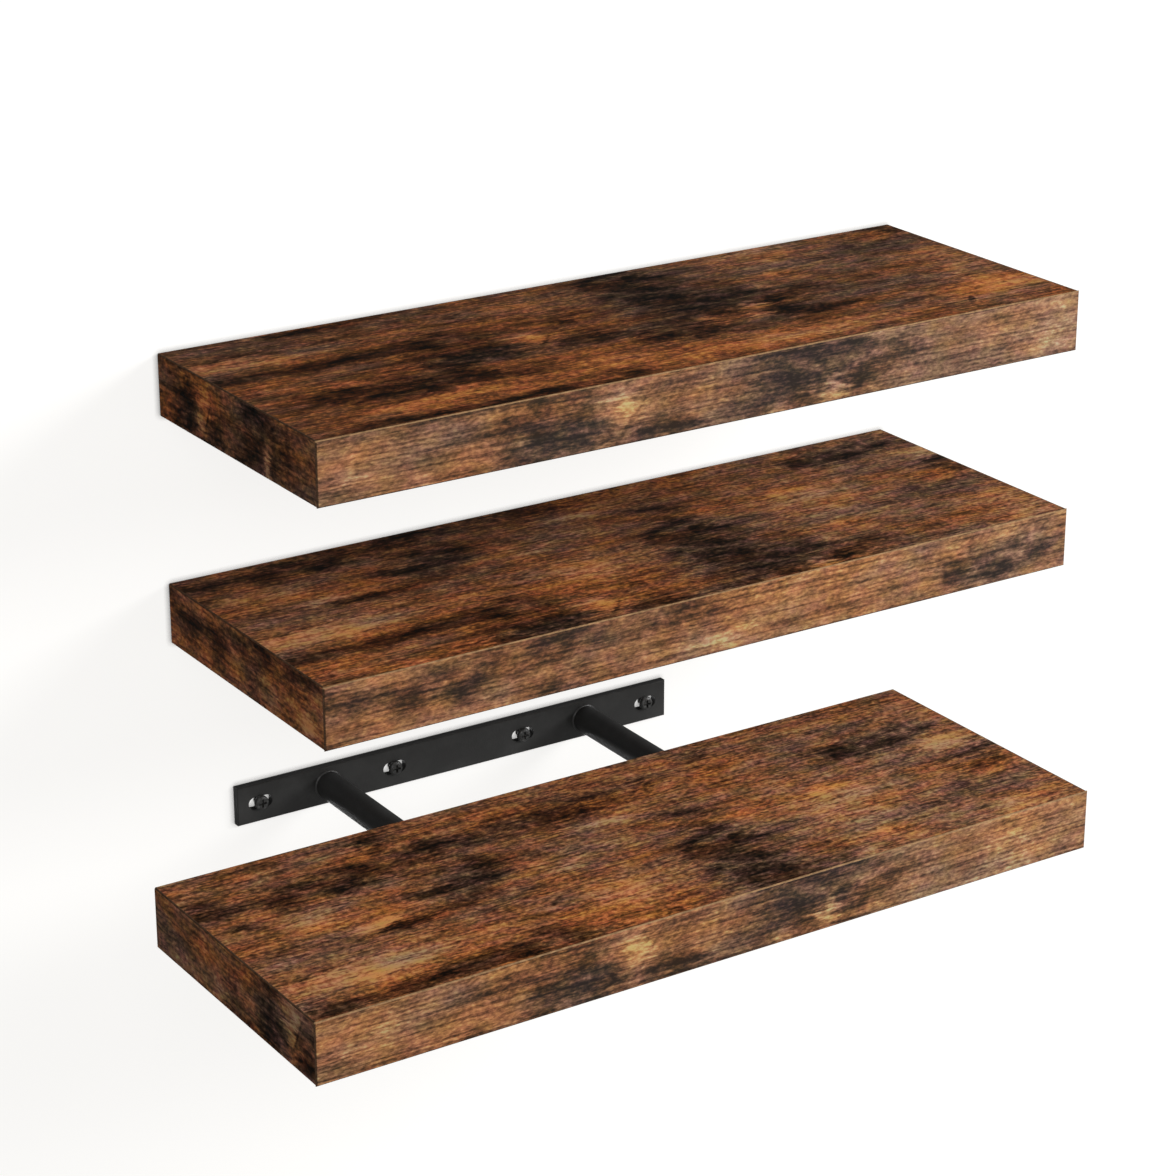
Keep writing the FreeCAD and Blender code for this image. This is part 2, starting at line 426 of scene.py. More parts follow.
def add_node(tree, kind, links=(), out=None, stops=(), **settings):
    """Adds a node with its settings, sets or links its inputs, and returns the output to carry on from."""
    node = tree.nodes.new(kind)
    for name, value in settings.items():
        setattr(node, name, value)
    for index, (position, tone) in enumerate(stops):
        if index >= len(node.color_ramp.elements):
            node.color_ramp.elements.new(position)
        node.color_ramp.elements[index].position = position
        node.color_ramp.elements[index].color = (*tone, 1)
    for socket, value in dict(links).items():
        if isinstance(value, bpy.types.NodeSocket):
            tree.links.new(value, node.inputs[socket])
        elif node.inputs[socket].type == "RGBA":
            node.inputs[socket].default_value = (*value, 1)
        else:
            node.inputs[socket].default_value = value
    if out is not None:
        return node.outputs[out]
    return next((socket for socket in node.outputs if socket.enabled), None)


def new_material(name):
    """An empty material, with its node tree."""
    material = bpy.data.materials.new(name)
    material.use_nodes = True
    material.node_tree.nodes.clear()
    return material, material.node_tree


def surfaced(material, tint, roughness, specular, relief, strength, depth):
    """Ends a material with its shader: colour, roughness, specular level and a relief of this depth."""
    tree = material.node_tree
    bump = add_node(tree, "ShaderNodeBump", {"Strength": strength, "Distance": depth, "Height": relief})
    look = {"Base Color": tint, "Roughness": roughness, "Specular IOR Level": specular, "Normal": bump}
    surface = add_node(tree, "ShaderNodeBsdfPrincipled", look)
    add_node(tree, "ShaderNodeOutputMaterial", {"Surface": surface})
    return material


def finish(node_name, material):
    """Puts a finish on a CAD node."""
    slots = nodes[node_name].data.materials
    slots.clear()
    slots.append(material)


def weighted(tree, layers, weights, middle):
    """Layers of noise added up by weight. Noise lies about a half, and the sum about this middle value."""
    total = middle - sum(weights.values()) / 2
    for layer, weight in weights.items():
        total = add_node(
            tree, "ShaderNodeMath", {0: layers[layer], 1: weight, 2: total}, operation="MULTIPLY_ADD"
        )
    return total


def grain_layers(tree, roll, tones):
    """Noise for each kind of mark in the grain. All but the bend lie on ground that wanders with it."""
    # Each mark's usual size along and across the grain, in millimetres, and its levels of finer detail.
    marks = {
        "bend": (24, 12, 4),
        "drift": (140, 15, 2),
        "streak": (tones.streak_length / MM, tones.streak_width / MM, 3),
        "dash": (tones.dash_length / MM, tones.dash_width / MM, 3),
        "mottle": (16, 8, 5),
        "fleck": (7, 2.8, 4),
        "line": (tones.line_length / MM, tones.line_gap / MM, 1),
        "hue": (50, 20, 3),
        "tint": (13, 8, 3),
        "fray": (20, 3.0, 3),
    }
    layers = {}
    ground = roll
    for name, (along, across, detail) in marks.items():
        size = (1 / along, 1 / across, 1 / across)
        sized = add_node(tree, "ShaderNodeVectorMath", {0: ground, 1: size}, operation="MULTIPLY")
        noise = {"Vector": sized, "Scale": 1.0, "Detail": detail, "Roughness": 0.6}
        layers[name] = add_node(tree, "ShaderNodeTexNoise", noise, out="Color" if name == "bend" else "Fac")
        if name == "bend":
            half = (0.5, 0.5, 0.5)
            bend = add_node(tree, "ShaderNodeVectorMath", {0: layers[name], 1: half}, operation="SUBTRACT")
            layers[name] = bend
            wave = (0, tones.wave / MM, 0)
            ground = add_node(
                tree, "ShaderNodeVectorMath", {0: bend, 1: wave, 2: roll}, operation="MULTIPLY_ADD"
            )
    return layers


def patch_fields(tree, layers, paper, span, height, window):
    """How smoked, how pale and how rich a face is from place to place, by the patches in its window."""
    # The edges of the patches bend a little, and fray into fingers along the grain.
    bent = add_node(
        tree, "ShaderNodeVectorMath", {0: layers["bend"], 1: EDGE_BEND, 2: paper}, operation="MULTIPLY_ADD"
    )
    fray = weighted(tree, layers, {"fray": 1.0}, 0.0)
    frayed = add_node(
        tree, "ShaderNodeVectorMath", {0: fray, 1: EDGE_FRAY, 2: bent}, operation="MULTIPLY_ADD"
    )
    flecks = weighted(tree, layers, {"fleck": EDGE_FLECKS}, 0.0)
    rust = add_node(tree, "ShaderNodeMath", {0: layers["hue"], 1: window.rust}, operation="ADD")
    kinds = [("smoke", [*SMOKE, *window.smoke], flecks), ("glow", GLOW, flecks), ("rust", RUST, rust)]
    left, right = [window.along + window.stretch * end for end in span]
    bottom, top = window.across - height, window.across
    fields = {}
    for field, patches, total in kinds:
        for patch in patches:
            reach = max(patch.reach_along, patch.reach_across)
            along_it = left - reach < patch.along < right + reach
            across_it = bottom - reach < patch.across < top + reach
            if not (along_it and across_it):
                continue
            ellipse = {
                "Vector": frayed if patch.reach_across > KNOT_REACH else paper,
                "Location": (patch.along, patch.across, 0),
                "Rotation": (0, 0, math.radians(patch.tilt)),
                "Scale": (patch.reach_along, patch.reach_across, 1),
            }
            inside = add_node(tree, "ShaderNodeMapping", ellipse, vector_type="TEXTURE")
            inside = add_node(
                tree, "ShaderNodeTexGradient", {"Vector": inside}, out="Fac", gradient_type="SPHERICAL"
            )
            total = add_node(
                tree, "ShaderNodeMath", {0: inside, 1: patch.strength, 2: total}, operation="MULTIPLY_ADD"
            )
        fields[field] = total
    for field in ("smoke", "glow"):
        levels = {"Value": fields[field], "From Min": EDGE_LEVELS[0], "From Max": EDGE_LEVELS[1]}
        fields[field] = add_node(tree, "ShaderNodeMapRange", levels, interpolation_type="SMOOTHSTEP")
    return fields


def rustic_print(name, tones, stock, rim, origin, turn, span, height, window):
    """Melamine paper printed as scorched rustic oak, pressed on board.

    The eye gets fine dashes inside longer brown streaks, patches left warm and pale or smoked nearly black
    with fibres still showing through, frayed along the grain, and a matt surface. Behind the paper the
    stock shows, and along the face's upper edge the rim colour, which on a front band is a pale line that
    is partly rubbed wear and partly a painted highlight. Origin and turn lay the print on its face, which
    has this span along the grain and this height across it, in millimetres.
    """
    material, tree = new_material(name)
    place = add_node(tree, "ShaderNodeTexCoord", out="Object")
    face = {"Vector": place, "Location": origin, "Rotation": turn, "Scale": (MM, MM, MM)}
    flat = add_node(tree, "ShaderNodeMapping", face, vector_type="TEXTURE")
    shift = (window.along, window.across, 0)
    stretch = (window.stretch, 1, 0)
    roll = add_node(tree, "ShaderNodeVectorMath", {0: flat, 1: shift}, operation="ADD")
    paper = add_node(
        tree, "ShaderNodeVectorMath", {0: flat, 1: stretch, 2: shift}, operation="MULTIPLY_ADD"
    )
    layers = grain_layers(tree, roll, tones)
    fields = patch_fields(tree, layers, paper, span, height, window)

    # The tone: grain, lifted where it is pale, sunk where it is smoked, and cut by thin lines.
    weights = {**GRAIN_WEIGHTS, "dash": GRAIN_WEIGHTS["dash"] * window.crisp}
    # Each face's lift moves its middle tone up or down. It is partly the print and partly painted light and
    # shade.
    tone = weighted(tree, layers, weights, MIDDLE_TONE + window.lift)
    soot = weighted(tree, layers, SOOT_WEIGHTS, -SOOT_DEPTH)
    for field, change in (("glow", GLOW_LIFT), ("smoke", soot)):
        tone = add_node(
            tree, "ShaderNodeMath", {0: fields[field], 1: change, 2: tone}, operation="MULTIPLY_ADD"
        )
    line_depth = window.crisp * tones.line_depth
    levels = {
        "Value": layers["line"],
        "From Min": LINE_EDGES[0],
        "From Max": LINE_EDGES[1],
        "To Min": LINE_SHARES[0] * line_depth,
        "To Max": LINE_SHARES[1] * line_depth,
    }
    cut = add_node(tree, "ShaderNodeMapRange", levels, interpolation_type="SMOOTHSTEP")
    tone = add_node(tree, "ShaderNodeMath", {0: tone, 1: cut}, operation="ADD")

    # The tone picks the brown. A colour ramp starts at 0, so the scale of tones is fitted to it.
    lowest, highest = min(TONE_LEVELS.values()), max(TONE_LEVELS.values())
    tone = add_node(tree, "ShaderNodeMapRange", {"Value": tone, "From Min": lowest, "From Max": highest})
    shades = [
        ((level - lowest) / (highest - lowest), getattr(tones, shade))
        for shade, level in TONE_LEVELS.items()
    ]
    printed = add_node(tree, "ShaderNodeValToRGB", {"Fac": tone}, out="Color", stops=shades)

    # The browns wander from ashen to rich over long patches, and from purple to olive over small ones.
    for noise, low, high in ((fields["rust"], ASHEN, RICH), (layers["tint"], PURPLE, OLIVE)):
        hues = [(WANDER_LEVELS[0], low), (0.5, PLAIN), (WANDER_LEVELS[1], high)]
        wander = add_node(tree, "ShaderNodeValToRGB", {"Fac": noise}, out="Color", stops=hues)
        mix = {FACTOR: tones.hue_shift, FIRST: printed, SECOND: wander}
        printed = add_node(tree, "ShaderNodeMix", mix, data_type="RGBA", blend_type="MULTIPLY")

    # The paper is only on the outside: past its thickness, edges and inner faces show the speckled stock.
    down, depth = [add_node(tree, "ShaderNodeSeparateXYZ", {0: flat}, out=axis) for axis in "YZ"]
    # Along the upper edge the rim colour shows instead of the stock. On a front band it is partly a painted
    # highlight.
    upper = add_node(tree, "ShaderNodeMath", {0: down, 1: -RIM_HEIGHT}, operation="GREATER_THAN")
    mix = {FACTOR: upper, FIRST: stock, SECOND: rim}
    bare = add_node(tree, "ShaderNodeMix", mix, data_type="RGBA")
    shades = [(0.35, (0.5, 0.5, 0.5)), (0.65, PLAIN)]
    specks = add_node(tree, "ShaderNodeValToRGB", {"Fac": layers["dash"]}, out="Color", stops=shades)
    mix = {FACTOR: 1.0, FIRST: bare, SECOND: specks}
    bare = add_node(tree, "ShaderNodeMix", mix, data_type="RGBA", blend_type="MULTIPLY")
    behind = add_node(tree, "ShaderNodeMath", {0: depth, 1: -PAPER_THICKNESS}, operation="LESS_THAN")
    mix = {FACTOR: behind, FIRST: printed, SECOND: bare}
    shown = add_node(tree, "ShaderNodeMix", mix, data_type="RGBA")
    relief = add_node(tree, "ShaderNodeMath", {0: layers["dash"], 1: cut}, operation="ADD")
    levels = {"Value": layers["dash"], "From Min": 0.3, "From Max": 0.7, "To Min": 0.55, "To Max": 0.7}
    dull = add_node(tree, "ShaderNodeMapRange", levels)
    return surfaced(material, shown, dull, specular=0.07, relief=relief, strength=0.3, depth=0.3 * MM)


def raw_fibreboard(tones):
    """Medium-density fibreboard, sawn and unsealed: dusty tan with short felted fibres and no shine."""
    material, tree = new_material("raw_fibreboard")
    place = add_node(tree, "ShaderNodeTexCoord", out="Object")
    # Real fibres are about 0.05 mm thick. They are drawn as bundles of about 1 mm so that they show.
    bundle = [1 / size / MM for size in (3.0, 1.2, 0.8)]
    fibres = add_node(tree, "ShaderNodeMapping", {"Vector": place, "Scale": bundle})
    noise = {"Vector": fibres, "Scale": 1.0, "Detail": 4, "Roughness": 0.65}
    fibres = add_node(tree, "ShaderNodeTexNoise", noise)
    cloud = add_node(tree, "ShaderNodeTexNoise", {"Vector": place, "Scale": 1 / 25 / MM, "Detail": 2})
    both = add_node(tree, "ShaderNodeMath", {0: cloud, 1: 0.45, 2: fibres}, operation="MULTIPLY_ADD")
    shades = [(0.5, tones.board_dark), (0.95, tones.board_light)]
    tint = add_node(tree, "ShaderNodeValToRGB", {"Fac": both}, out="Color", stops=shades)
    return surfaced(material, tint, 0.9, specular=0.15, relief=fibres, strength=0.5, depth=0.4 * MM)


def kraft_paper(tones):
    """Recycled kraft paper, pulled open as a honeycomb: dull tan, with upright flutes and pulp flecks."""
    material, tree = new_material("kraft_honeycomb_paper")
    place = add_node(tree, "ShaderNodeTexCoord", out="Object")
    pulp = add_node(tree, "ShaderNodeTexNoise", {"Vector": place, "Scale": 1 / 1.5 / MM, "Detail": 4})
    flute = [1 / size / MM for size in (2.5, 2.5, 60)]
    flutes = add_node(tree, "ShaderNodeMapping", {"Vector": place, "Scale": flute})
    flutes = add_node(tree, "ShaderNodeTexNoise", {"Vector": flutes, "Scale": 1.0, "Detail": 1})
    both = add_node(tree, "ShaderNodeMath", {0: pulp, 1: 0.5, 2: flutes}, operation="MULTIPLY_ADD")
    shades = [(0.5, tones.paper_dark), (0.95, tones.paper_light)]
    tint = add_node(tree, "ShaderNodeValToRGB", {"Fac": both}, out="Color", stops=shades)
    return surfaced(material, tint, 0.85, specular=0.2, relief=flutes, strength=0.4, depth=0.3 * MM)


def black_powder_coat(tones):
    """Polyester powder coat baked on mild steel: satin black, with a faint orange peel in its gloss."""
    material, tree = new_material("black_powder_coat")
    place = add_node(tree, "ShaderNodeTexCoord", out="Object")
    # Real orange peel is about 0.5 mm across. It is drawn at 0.9 mm so that it shows.
    peel = add_node(tree, "ShaderNodeTexNoise", {"Vector": place, "Scale": 1 / 0.9 / MM, "Detail": 2})
    noise = {"Vector": place, "Scale": 1 / 18 / MM, "Detail": 4, "Roughness": 0.6}
    film = add_node(tree, "ShaderNodeTexNoise", noise)
    shades = [(0.4, tones.coat), (0.72, tones.coat_grey)]
    tint = add_node(tree, "ShaderNodeValToRGB", {"Fac": film}, out="Color", stops=shades)
    levels = {"Value": peel, "From Min": 0.3, "From Max": 0.7, "To Min": 0.36, "To Max": 0.5}
    gloss = add_node(tree, "ShaderNodeMapRange", levels)
    return surfaced(material, tint, gloss, specular=0.5, relief=peel, strength=0.3, depth=0.2 * MM)


def black_phosphate(tones):
    """Manganese phosphate on hardened screw steel: dull black crystals, rubbed to grey steel in places."""
    material, tree = new_material("black_phosphate_steel")
    place = add_node(tree, "ShaderNodeTexCoord", out="Object")
    # Real crystals are about 0.02 mm across. They are drawn at 0.4 mm so that they show.
    crystals = add_node(tree, "ShaderNodeTexNoise", {"Vector": place, "Scale": 1 / 0.4 / MM, "Detail": 3})
    rubbed = add_node(tree, "ShaderNodeTexNoise", {"Vector": place, "Scale": 1 / 2.2 / MM, "Detail": 3})
    shades = [(0.52, tones.screw), (0.75, tones.screw_worn)]
    tint = add_node(tree, "ShaderNodeValToRGB", {"Fac": rubbed}, out="Color", stops=shades)
    levels = {"Value": rubbed, "From Min": 0.4, "From Max": 0.7, "To Min": 0.5, "To Max": 0.3}
    gloss = add_node(tree, "ShaderNodeMapRange", levels)
    return surfaced(material, tint, gloss, specular=0.5, relief=crystals, strength=0.25, depth=0.1 * MM)


def lit_background_paper(paper):
    """Background paper, partly lit from behind: nearly white, with faint shadows and painted shade where its
    glow dims close to other parts. Its back is clear.
    """
    material, tree = new_material("lit_background_paper")
    sheet = add_node(tree, "ShaderNodeBsdfDiffuse", {"Color": [0.2 * channel for channel in paper]})
    # Painted shade: ambient occlusion within 3 mm dims the glow in the slots and along the brackets' edges.
    glow_with_painted_shade = add_node(
        tree, "ShaderNodeAmbientOcclusion", {"Color": paper, "Distance": 3 * MM}, out="Color", samples=4
    )
    lit = add_node(tree, "ShaderNodeEmission", {"Color": glow_with_painted_shade, "Strength": 0.93})
    front = add_node(tree, "ShaderNodeAddShader", {0: sheet, 1: lit})
    clear = add_node(tree, "ShaderNodeBsdfTransparent")
    behind = add_node(tree, "ShaderNodeNewGeometry", out="Backfacing")
    surface = add_node(tree, "ShaderNodeMixShader", {0: behind, 1: front, 2: clear})
    add_node(tree, "ShaderNodeOutputMaterial", {"Surface": surface})
    return material


def outline(mesh, points, closed=False):
    """New vertices at these points, and the edges that join them in order."""
    verts = [mesh.verts.new(point) for point in points]
    first = 0 if closed else 1
    return verts, [mesh.edges.new((verts[i - 1], verts[i])) for i in range(first, len(verts))]


def everything(mesh):
    return mesh.verts[:] + mesh.edges[:] + mesh.faces[:]


def only(kind, items):
    """The items that are of one kind, such as vertices."""
    return [item for item in items if isinstance(item, kind)]


def spin(mesh, geom, angle, steps, cent=(0, 0, 0), **options):
    """Spins geometry about an axis along Y."""
    return bmesh.ops.spin(mesh, geom=geom, cent=cent, axis=(0, 1, 0), angle=angle, steps=steps, **options)


def draw_out(mesh, edges, vec):
    """Extrudes edges by a vector, and returns the new vertices."""
    drawn = bmesh.ops.extrude_edge_only(mesh, edges=edges)
    verts = only(bmesh.types.BMVert, drawn["geom"])
    bmesh.ops.translate(mesh, vec=vec, verts=verts)
    return verts


def add_object(mesh, name, material):
    """Makes a bmesh into an object with one material."""
    data = bpy.data.meshes.new(name)
    mesh.to_mesh(data)
    mesh.free()
    data.materials.append(material)
    thing = bpy.data.objects.new(name, data)
    bpy.context.scene.collection.objects.link(thing)
    return thing


def add_piece(mesh, name, body, material):
    """Makes a bmesh into a piece that rides on a CAD body and takes its finish from a material slot."""
    bmesh.ops.remove_doubles(mesh, verts=mesh.verts, dist=2 * NEAR)
    bmesh.ops.recalc_face_normals(mesh, faces=mesh.faces)
    piece = add_object(mesh, name, material)
    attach(piece, body)
    return piece


class SHELF_OT_print_faces(bpy.types.Operator):
    """Print the upper and lower faces of the boards"""

    bl_idname = "shelf.print_faces"
    bl_label = "Print the faces"

    def execute(self, context):
        tones = context.scene.wall_shelf.face_print
        for tier in TIERS:
            for face, turn in (("upper", 0), ("lower", math.pi)):
                panel = f"{tier}_shelf_{face}_panel"
                low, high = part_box(panel)
                half = (high.x - low.x) / 2 / MM
                printed = rustic_print(
                    f"rustic_brown_melamine_{tier}_{face}",
                    tones,
                    stock=tones.stock,
                    rim=tones.stock,
                    origin=((low.x + high.x) / 2, high.y, high.z if face == "upper" else low.z),
                    turn=(0, turn, 0),
                    span=(-half, half),
                    height=(high.y - low.y) / MM,
                    window=WINDOWS[f"{tier}_{face}"],
                )
                finish(panel, printed)
        return {"FINISHED"}


class SHELF_OT_print_bands(bpy.types.Operator):
    """Print the glued bands on the fronts and ends of the boards"""

    bl_idname = "shelf.print_bands"
    bl_label = "Print the edge bands"

    def execute(self, context):
        face_tones = context.scene.wall_shelf.face_print
        band_tones_and_sheen = context.scene.wall_shelf.band_print
        for tier in TIERS:
            for side in ("front", *SIDES):
                band = f"{tier}_shelf_{side}_edge_band"
                low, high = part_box(band)
                half = (high.x - low.x) / 2 / MM
                depth = (high.y - low.y) / MM
                # Where the band's zero lies, how far the band is turned from the front, and its span.
                x, y, turn, span = {
                    "front": ((low.x + high.x) / 2, low.y, 0, (-half, half)),
                    "left": (low.x, high.y, -math.pi / 2, (0, depth)),
                    "right": (high.x, high.y, math.pi / 2, (-depth, 0)),
                }[side]
                printed = rustic_print(
                    f"rustic_brown_band_{tier}_{side}",
                    # The front bands take the paler, greyer band print, which partly paints in sheen. The
                    # ends take the face print.
                    band_tones_and_sheen if side == "front" else face_tones,
                    stock=band_tones_and_sheen.stock,
                    # On the front bands the rim is a pale line of rubbed wear and painted highlight.
                    rim=band_tones_and_sheen.rubbed if side == "front" else band_tones_and_sheen.stock,
                    origin=(x, y, high.z),
                    turn=(math.pi / 2, 0, turn),
                    span=span,
                    height=(high.z - low.z) / MM,
                    window=WINDOWS[f"{tier}_{side}"],
                )
                finish(band, printed)
        return {"FINISHED"}


class SHELF_OT_finish_insides(bpy.types.Operator):
    """Give the rails, rod blocks and honeycomb their raw board and paper"""

    bl_idname = "shelf.finish_insides"
    bl_label = "Finish the insides"

    def execute(self, context):
        tones = context.scene.wall_shelf.inside
        board = raw_fibreboard(tones)
        paper = kraft_paper(tones)
        members = ["front_rail", "back_rail"]
        for side in SIDES:
            members += [f"{side}_end_rail", f"{side}_rod_block"]
        for tier in TIERS:
            for member in members:
                finish(f"{tier}_shelf_{member}", board)
            finish(f"{tier}_shelf_honeycomb_core", paper)
        return {"FINISHED"}


class SHELF_OT_coat_brackets(bpy.types.Operator):
    """Powder-coat the wall bars and rods, and lay a weld bead round the foot of each rod"""

    bl_idname = "shelf.coat_brackets"
    bl_label = "Coat and weld the brackets"

    def execute(self, context):
        settings = context.scene.wall_shelf.bracket
        coat = black_powder_coat(settings)
        for tier in TIERS:
            finish(f"{tier}_bracket_wall_bar", coat)
            for side in SIDES:
                finish(f"{tier}_bracket_{side}_rod", coat)
                self.weld(settings, coat, tier, side)
        return {"FINISHED"}

    def weld(self, settings, coat, tier, side):
        """One ripple of the bead is spun a little way round the rod, swollen, and repeated all round it."""
        low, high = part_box(f"{tier}_bracket_{side}_rod")
        axis = Vector(((low.x + high.x) / 2, high.y, (low.z + high.z) / 2))
        radius = (high.x - low.x) / 2
        leg = settings.weld_leg
        profile = [(radius - BEAD_SINK, BEAD_SINK), (radius + leg, BEAD_SINK)]
        profile += [(radius + out * leg, -along * leg) for out, along in BEAD_OUTLINE]
        profile.append((radius - BEAD_SINK, -leg))
        mesh = bmesh.new()
        points = [axis + Vector((across, along, 0)) for across, along in profile]
        verts, edges = outline(mesh, points, closed=True)
        ring = verts + edges
        ripple = 2 * math.pi / settings.weld_ripples
        turn = ripple / len(BEAD_SWELL)
        for step, growth in enumerate(BEAD_SWELL, 1):
            ring = spin(mesh, ring, turn, 1, cent=axis)["geom_last"]
            foot = axis + Matrix.Rotation(step * turn, 3, "Y") @ Vector((radius, 0, 0))
            verts = only(bmesh.types.BMVert, ring)
            about = Matrix.Translation(-foot)
            bmesh.ops.scale(mesh, vec=(growth, growth, growth), verts=verts, space=about)
        more = settings.weld_ripples - 1
        spin(mesh, everything(mesh), 2 * math.pi - ripple, more, cent=axis, use_duplicate=True)
        add_piece(mesh, f"{tier}_bracket_{side}_weld", "wall_brackets", coat)


class SHELF_OT_drive_screws(bpy.types.Operator):
    """Make the pan-head wall screws with their threads and cross recesses"""

    bl_idname = "shelf.drive_screws"
    bl_label = "Drive the wall screws"

    def execute(self, context):
        settings = context.scene.wall_shelf.bracket
        steel = black_phosphate(settings)
        for tier in TIERS:
            node = f"{tier}_bracket_wall_screws"
            low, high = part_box(node)
            mesh = bmesh.new()
            self.thread(mesh, settings, high.y - low.y)
            self.head(mesh, settings)
            first = low.x + settings.head_diameter / 2
            last = high.x - settings.head_diameter / 2
            bmesh.ops.translate(mesh, vec=(first, low.y, (low.z + high.z) / 2), verts=mesh.verts)
            more = settings.screw_count - 1
            pitch = ((last - first) / more, 0, 0)
            spin(mesh, everything(mesh), 0, more, dvec=pitch, use_duplicate=True)
            name = f"{tier}_bracket_pan_head_screws"
            piece = add_piece(mesh, name, "wall_brackets", steel)
            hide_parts(node)
        return {"FINISHED"}

    def thread(self, mesh, settings, full_length):
        """The screw from its head to its point, along +Y from its head's top at the origin."""
        crest, root = settings.thread_diameter / 2, settings.core_diameter / 2
        pitch, head = settings.thread_pitch, settings.head_height

        # One flank profile is wound from inside the head to past the point, and cut square at both ends.
        start = head - 1.2 * pitch
        turns = math.ceil((full_length - head) / pitch) + 2
        points = [
            (root + height * (crest - root), start + along * pitch, 0) for height, along in THREAD_OUTLINE
        ]
        verts, edges = outline(mesh, points)
        rise = (0, pitch / THREAD_STEPS, 0)
        spin(mesh, verts + edges, 2 * math.pi * turns, THREAD_STEPS * turns, dvec=rise)
        bmesh.ops.remove_doubles(mesh, verts=mesh.verts, dist=NEAR)
        for y, keep in ((head, 1), (full_length - settings.point_length, -1)):
            cut = bmesh.ops.bisect_plane(
                mesh, geom=everything(mesh), plane_co=(0, y, 0), plane_no=(0, -keep, 0), clear_outer=True
            )
        rim = only(bmesh.types.BMEdge, cut["geom_cut"])
        tip = draw_out(mesh, rim, (0, settings.point_length, 0))
        bmesh.ops.pointmerge(mesh, verts=tip, merge_co=(0, full_length, 0))

    def head(self, mesh, settings):
        """A domed pan whose top opens as a cross. The thread's open end under it is closed too."""
        points = [
            (across * settings.head_diameter / 2, along * settings.head_height, 0)
            for across, along in HEAD_OUTLINE
        ]
        verts, edges = outline(mesh, points)
        spin(mesh, verts + edges, 2 * math.pi, HEAD_STEPS, use_merge=True)
        bmesh.ops.remove_doubles(mesh, verts=mesh.verts, dist=NEAR)
        rim_height = points[0][1]
        rim = [
            edge for edge in mesh.edges
            if edge.is_boundary and all(abs(vert.co.y - rim_height) < NEAR for vert in edge.verts)
        ]
        long, short = settings.recess_span / 2, settings.recess_width / 2
        arm = [(long, -short), (long, short), (short, short)]
        corners = []
        for _ in range(4):
            corners += [(x, 0, z) for x, z in arm]
            arm = [(-z, x) for x, z in arm]
        cross = outline(mesh, corners, closed=True)[1]
        bmesh.ops.bridge_loops(mesh, edges=rim + cross)
        floor = draw_out(mesh, cross, (0, settings.recess_depth, 0))
        bmesh.ops.scale(mesh, vec=(RECESS_TAPER, 1, RECESS_TAPER), verts=floor)
        bmesh.ops.holes_fill(mesh, edges=[edge for edge in mesh.edges if edge.is_boundary], sides=0)


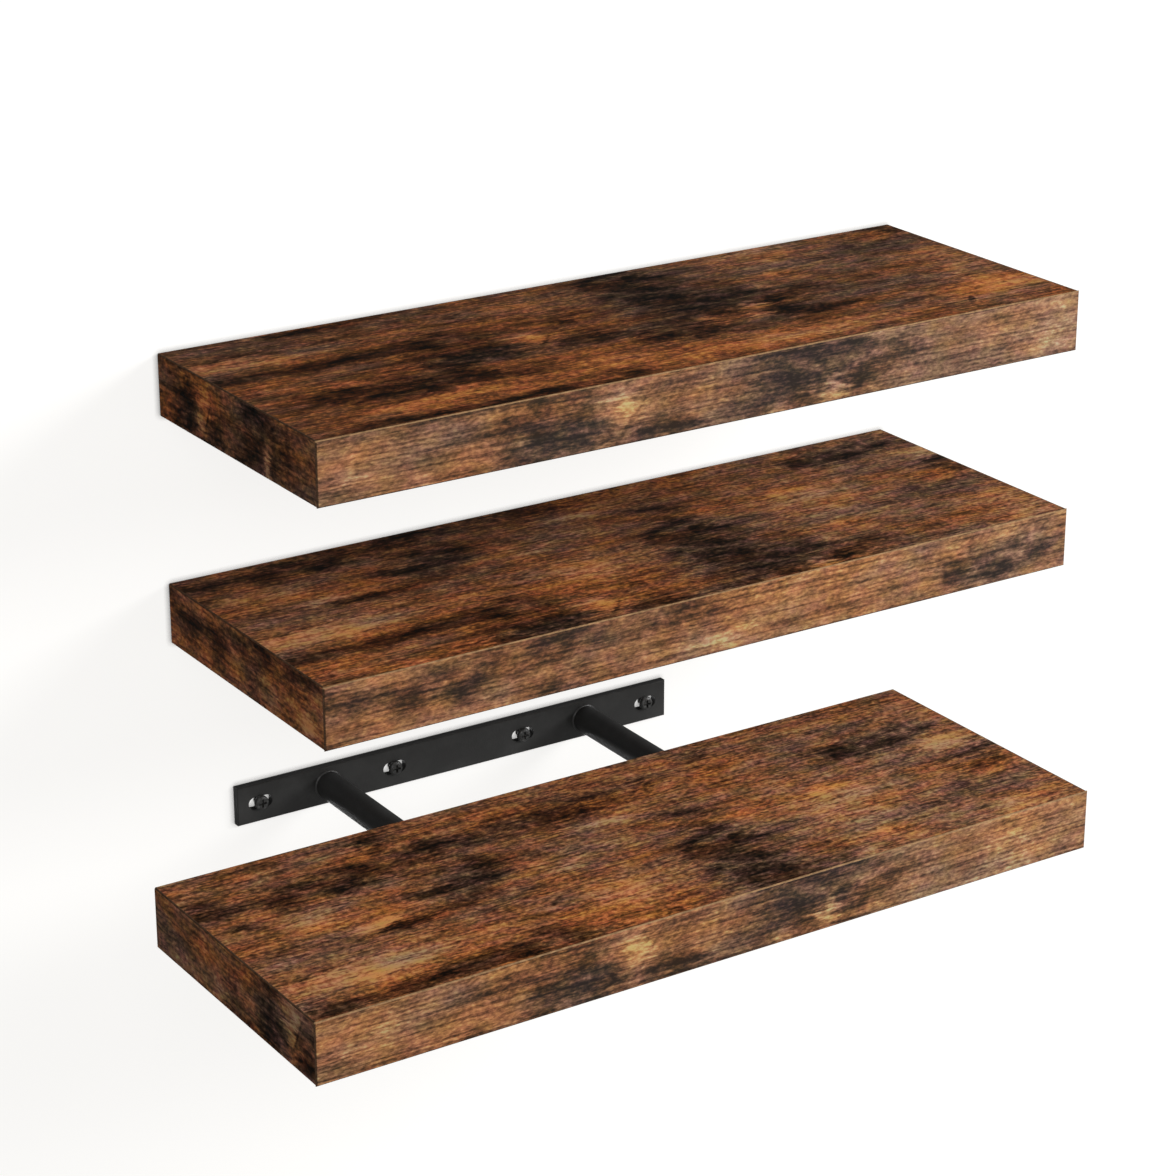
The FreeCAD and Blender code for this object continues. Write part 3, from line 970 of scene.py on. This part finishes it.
class SHELF_OT_set_studio(bpy.types.Operator):
    """Set up the pale sweep, the soft lamps and the camera"""

    bl_idname = "shelf.set_studio"
    bl_label = "Set the studio"

    def execute(self, context):
        settings = context.scene.wall_shelf.studio
        self.sweep(settings)
        for name, lamp in LAMPS.items():
            self.light(context, settings, name, lamp)
        self.room(context, settings)
        self.camera(context, settings)
        context.scene.view_settings.view_transform = "Standard"
        return {"FINISHED"}

    def sweep(self, settings):
        """A wall just behind the brackets that curves into a floor. It shows from its front only."""
        mesh = bmesh.new()
        floor = -settings.floor_drop
        points = [
            (-SWEEP_REACH, SWEEP_GAP, SWEEP_REACH),
            (-SWEEP_REACH, SWEEP_GAP, floor),
            (-SWEEP_REACH, -SWEEP_REACH, floor),
        ]
        verts, edges = outline(mesh, points)
        draw_out(mesh, edges, (2 * SWEEP_REACH, 0, 0))
        corner = verts[1].co
        fold = [edge for edge in mesh.edges if all(vert.co.yz == corner.yz for vert in edge.verts)]
        bmesh.ops.bevel(
            mesh,
            geom=fold,
            offset=SWEEP_RADIUS,
            offset_type="OFFSET",
            affect="EDGES",
            segments=SWEEP_STEPS,
            profile=0.5,
            material=-1,
        )
        bmesh.ops.recalc_face_normals(mesh, faces=mesh.faces)
        front = max(mesh.faces, key=lambda face: face.calc_area())
        if front.normal.y > 0 or front.normal.z < 0:
            bmesh.ops.reverse_faces(mesh, faces=mesh.faces)
        for face in mesh.faces:
            face.smooth = True
        sweep = add_object(mesh, "sweep", lit_background_paper(settings.paper))
        for ray in ("diffuse", "glossy", "transmission", "shadow"):
            setattr(sweep, f"visible_{ray}", False)

    def place(self, thing, settings, azimuth, elevation, distance):
        """Stands a lamp or camera this far from the aim, to the right and up by these angles, facing it."""
        flat = math.cos(elevation)
        away = Vector((math.sin(azimuth) * flat, -math.cos(azimuth) * flat, math.sin(elevation)))
        thing.location = Vector(settings.aim) + away * distance
        thing.rotation_euler = away.to_track_quat("Z", "Y").to_euler()

    def light(self, context, settings, name, lamp):
        """A soft rectangular lamp, aimed at the camera's own aim."""
        data = bpy.data.lights.new(name, "AREA")
        data.shape = "RECTANGLE"
        data.size, data.size_y = lamp.width, lamp.height
        data.energy = getattr(settings, lamp.power)
        light = bpy.data.objects.new(name, data)
        context.scene.collection.objects.link(light)
        self.place(light, settings, math.radians(lamp.azimuth), math.radians(lamp.elevation), lamp.distance)

    def room(self, context, settings):
        """Even light from all round, weaker from the wall, with plain white where the sweep ends."""
        world = bpy.data.worlds.new("room")
        context.scene.world = world
        world.use_nodes = True
        tree = world.node_tree
        tree.nodes.clear()
        facing = add_node(tree, "ShaderNodeTexCoord", out="Generated")
        behind = add_node(tree, "ShaderNodeSeparateXYZ", {0: facing}, out="Y")
        front, back = [share * settings.room_light for share in ROOM_SHARES]
        levels = {"Value": behind, "From Min": -1.0, "From Max": 1.0, "To Min": front, "To Max": back}
        strength = add_node(tree, "ShaderNodeMapRange", levels)
        light = add_node(tree, "ShaderNodeBackground", {"Color": PLAIN, "Strength": strength})
        white = add_node(tree, "ShaderNodeBackground", {"Color": settings.paper, "Strength": 1.0})
        seen = add_node(tree, "ShaderNodeLightPath", out="Is Camera Ray")
        surface = add_node(tree, "ShaderNodeMixShader", {0: seen, 1: light, 2: white})
        add_node(tree, "ShaderNodeOutputWorld", {"Surface": surface})

    def camera(self, context, settings):
        data = bpy.data.cameras.new("camera")
        data.lens = settings.lens
        data.sensor_width = SENSOR_WIDTH
        data.clip_start, data.clip_end = 0.05, 50
        camera = bpy.data.objects.new("camera", data)
        context.scene.collection.objects.link(camera)
        self.place(camera, settings, settings.azimuth, settings.elevation, settings.distance)
        context.scene.camera = camera


class SHELF_PT_sidebar(bpy.types.Panel):
    """Lists the steps that finish the wall shelf, with the sizes and colours that each of them uses"""

    bl_idname = "SHELF_PT_sidebar"
    bl_label = "Wall Shelf"
    bl_space_type = "VIEW_3D"
    bl_region_type = "UI"
    bl_category = "Wall Shelf"

    def draw(self, context):
        settings = context.scene.wall_shelf
        for operator, groups in STEPS:
            box = self.layout.box()
            box.operator(operator.bl_idname)
            for group in groups:
                values = getattr(settings, group)
                for key in values.bl_rna.properties.keys():
                    if key not in ("rna_type", "name"):
                        box.prop(values, key)


STEPS = [
    (SHELF_OT_print_faces, ["face_print"]),
    (SHELF_OT_print_bands, ["band_print"]),
    (SHELF_OT_finish_insides, ["inside"]),
    (SHELF_OT_coat_brackets, ["bracket"]),
    (SHELF_OT_drive_screws, []),
    (SHELF_OT_set_studio, ["studio"]),
]
GROUPS = [FacePrint, BandPrintAndSheen, Inside, Bracket, Studio, WallShelf]
CLASSES = [*GROUPS, *[operator for operator, groups in STEPS], SHELF_PT_sidebar]


def register():
    for cls in CLASSES:
        bpy.utils.register_class(cls)
    bpy.types.Scene.wall_shelf = PointerProperty(type=WallShelf)


def unregister():
    del bpy.types.Scene.wall_shelf
    for cls in reversed(CLASSES):
        bpy.utils.unregister_class(cls)


def main():
    register()
    bpy.ops.shelf.print_faces()
    bpy.ops.shelf.print_bands()
    bpy.ops.shelf.finish_insides()
    bpy.ops.shelf.coat_brackets()
    bpy.ops.shelf.drive_screws()
    bpy.ops.shelf.set_studio()


if __name__ == "__main__":
    main()
